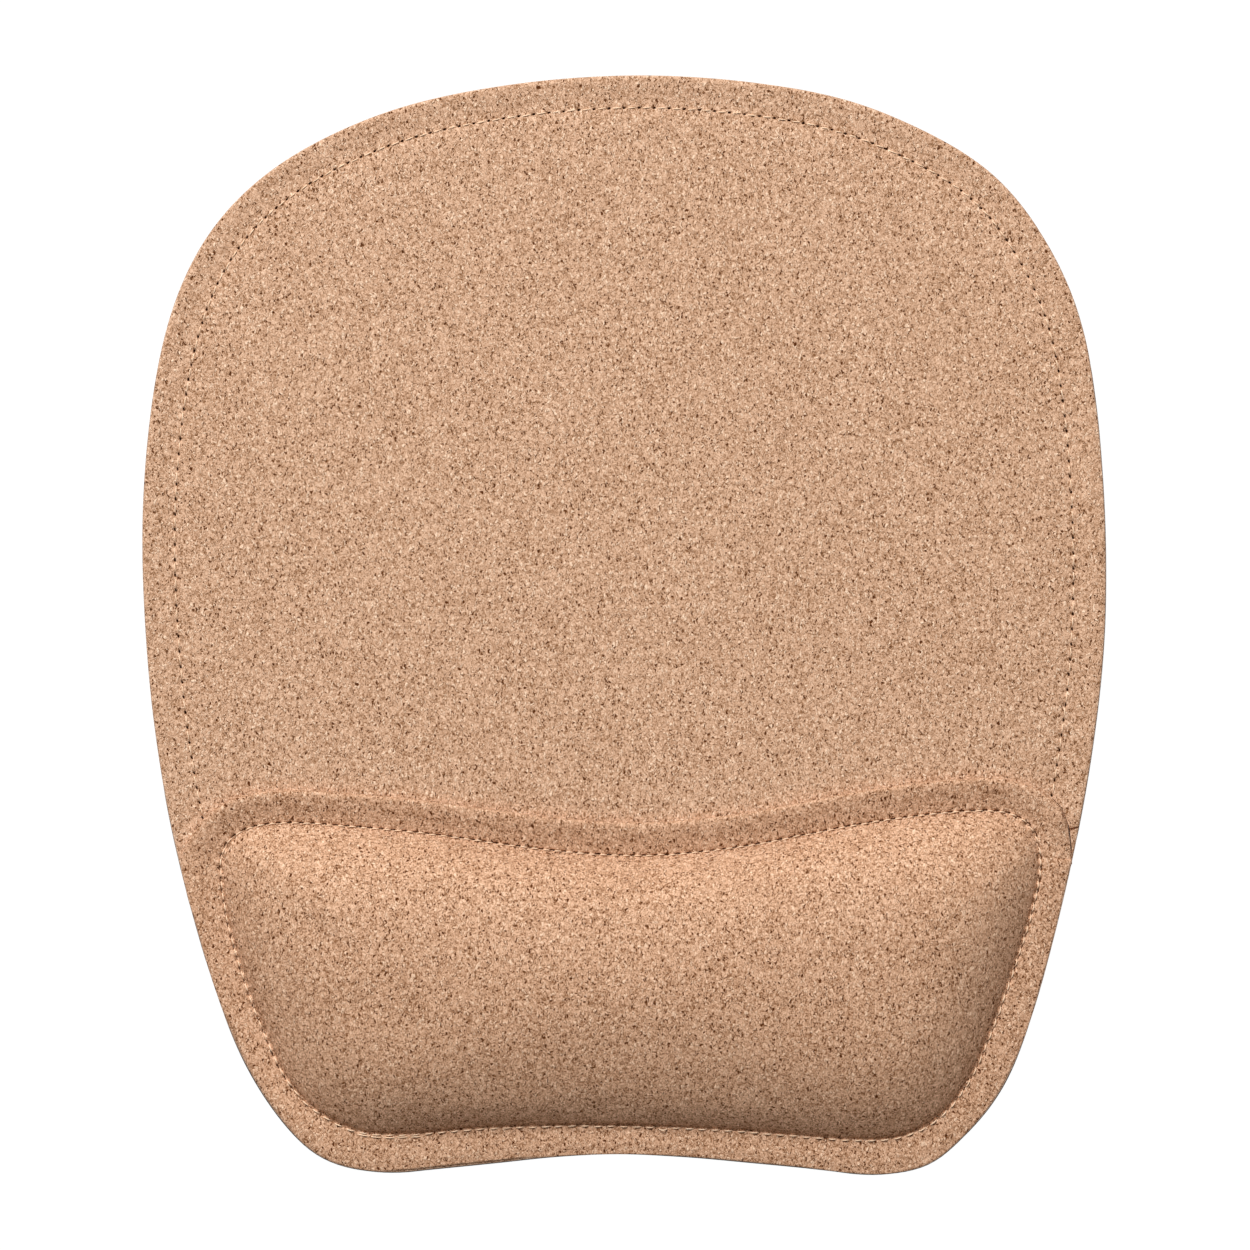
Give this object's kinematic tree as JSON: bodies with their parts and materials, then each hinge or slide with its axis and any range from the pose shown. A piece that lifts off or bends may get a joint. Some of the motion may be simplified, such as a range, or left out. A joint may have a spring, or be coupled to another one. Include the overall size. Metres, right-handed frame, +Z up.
{
  "type": "mouse mat with wrist rest",
  "caption": "Flat rounded mouse mat with a padded wrist rest sewn along its near side, both covered in cork fabric over foam, on a non-slip sheet.",
  "frame": {"origin": "on the desk, under the middle of the mat", "axes": "+X to the user's right, +Y to the far edge, +Z up out of the desk"},
  "size_m": [0.2192, 0.25, 0.02],
  "materials": {
    "cork_fabric": "matt cork veneer fabric, fine light and dark grains",
    "thread": "pale beige twisted sewing thread",
    "base_rubber": "dark grey non-slip sheet, fine matt texture",
    "core_foam": "grey closed-cell foam sheet",
    "pad_foam": "cream open-cell foam"
  },
  "bodies": {
    "root": {"base_sheet": "base_rubber", "mat_core": "core_foam", "mat_cover": "cork_fabric", "mat_needle_thread": "thread", "mat_bobbin_thread": "thread", "rest_backing": "core_foam", "rest_foam": "pad_foam", "rest_cover": "cork_fabric", "rest_needle_thread": "thread", "rest_bobbin_thread": "thread"}
  },
  "joints": []
}
